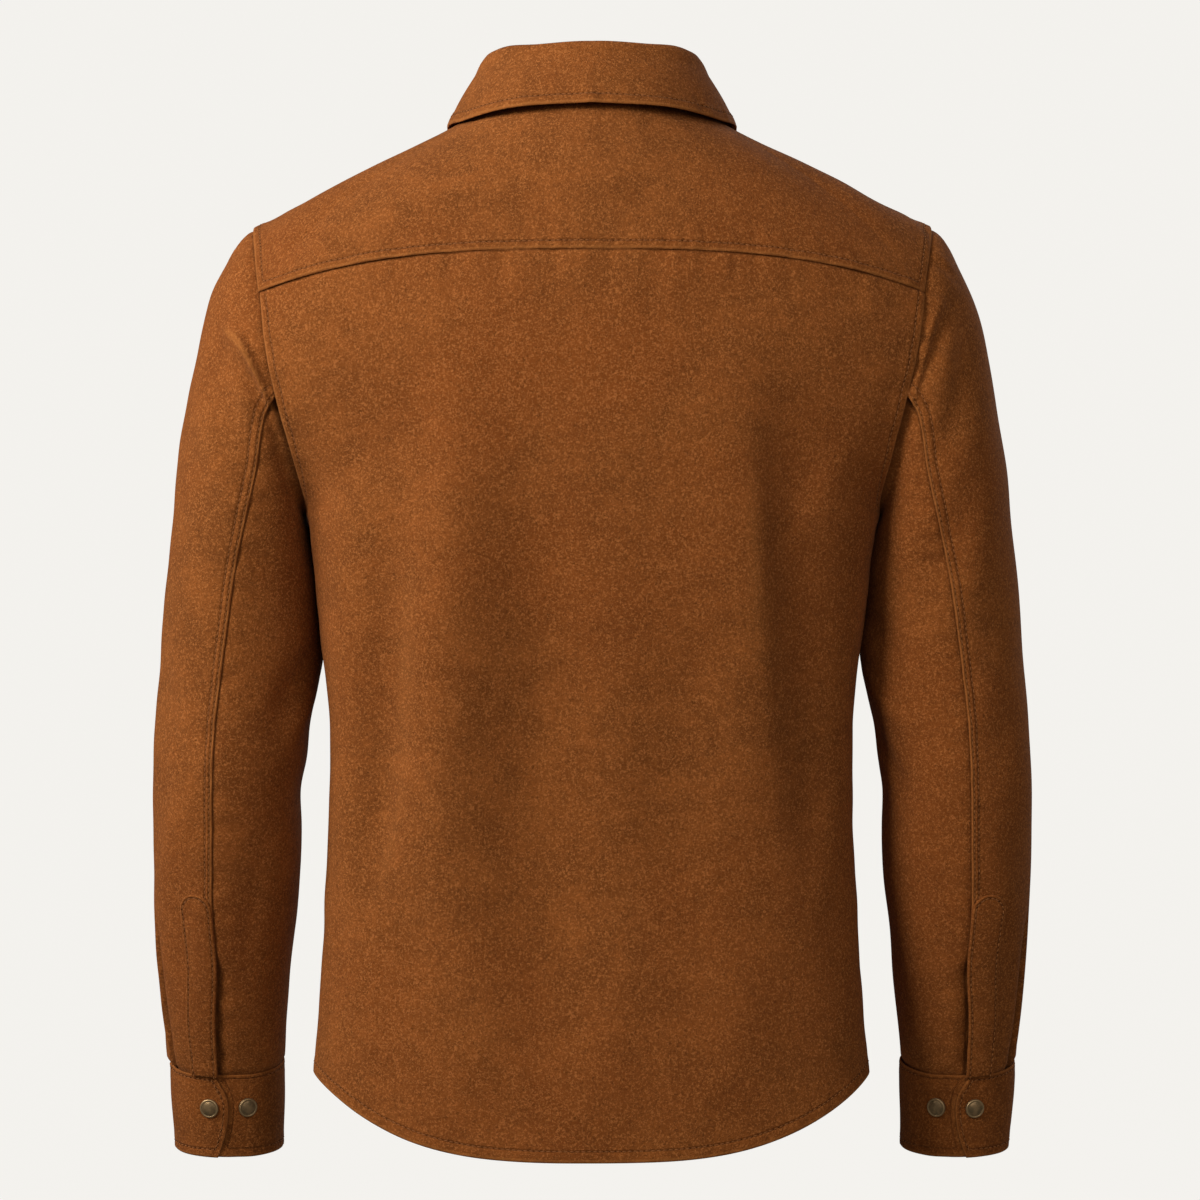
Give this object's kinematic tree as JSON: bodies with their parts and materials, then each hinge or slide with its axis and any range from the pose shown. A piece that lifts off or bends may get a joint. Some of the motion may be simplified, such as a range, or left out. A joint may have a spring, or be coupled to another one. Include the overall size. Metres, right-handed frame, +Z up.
{
  "type": "suede jacket",
  "caption": "Suede shirt-jacket with a turned-down collar, back yoke, shirttail hem, two-piece sleeves, tower plackets and snapped cuffs, filled out as worn.",
  "frame": {"origin": "on the jacket's mid-plane, level with the collar seam's two neck points, midway between them front to back", "axes": "+Z up, -Y the jacket's front and +Y its back, +X the wearer's left"},
  "size_m": [0.6152, 0.2615, 0.7761],
  "materials": {
    "suede": "napped tobacco-brown suede, matt",
    "cuff_suede": "napped tobacco-brown suede, matt",
    "aged_brass": "dark antique brass, satin"
  },
  "bodies": {
    "root": {"back_panel": "suede", "back_yoke": "suede", "front_left": "suede", "front_right": "suede", "front_band": "suede", "collar_stand": "suede", "collar_fall": "suede", "top_sleeve_left": "suede", "under_sleeve_left": "suede", "placket_left": "suede", "top_sleeve_right": "suede", "under_sleeve_right": "suede", "placket_right": "suede", "cuff_left": "cuff_suede", "cuff_right": "cuff_suede", "cuff_snap_left_tab": "aged_brass", "cuff_snap_left_inner": "aged_brass", "cuff_snap_right_tab": "aged_brass", "cuff_snap_right_inner": "aged_brass", "front_snap_1": "aged_brass", "front_snap_2": "aged_brass", "front_snap_3": "aged_brass", "front_snap_4": "aged_brass", "front_snap_5": "aged_brass", "front_snap_6": "aged_brass"}
  },
  "joints": []
}
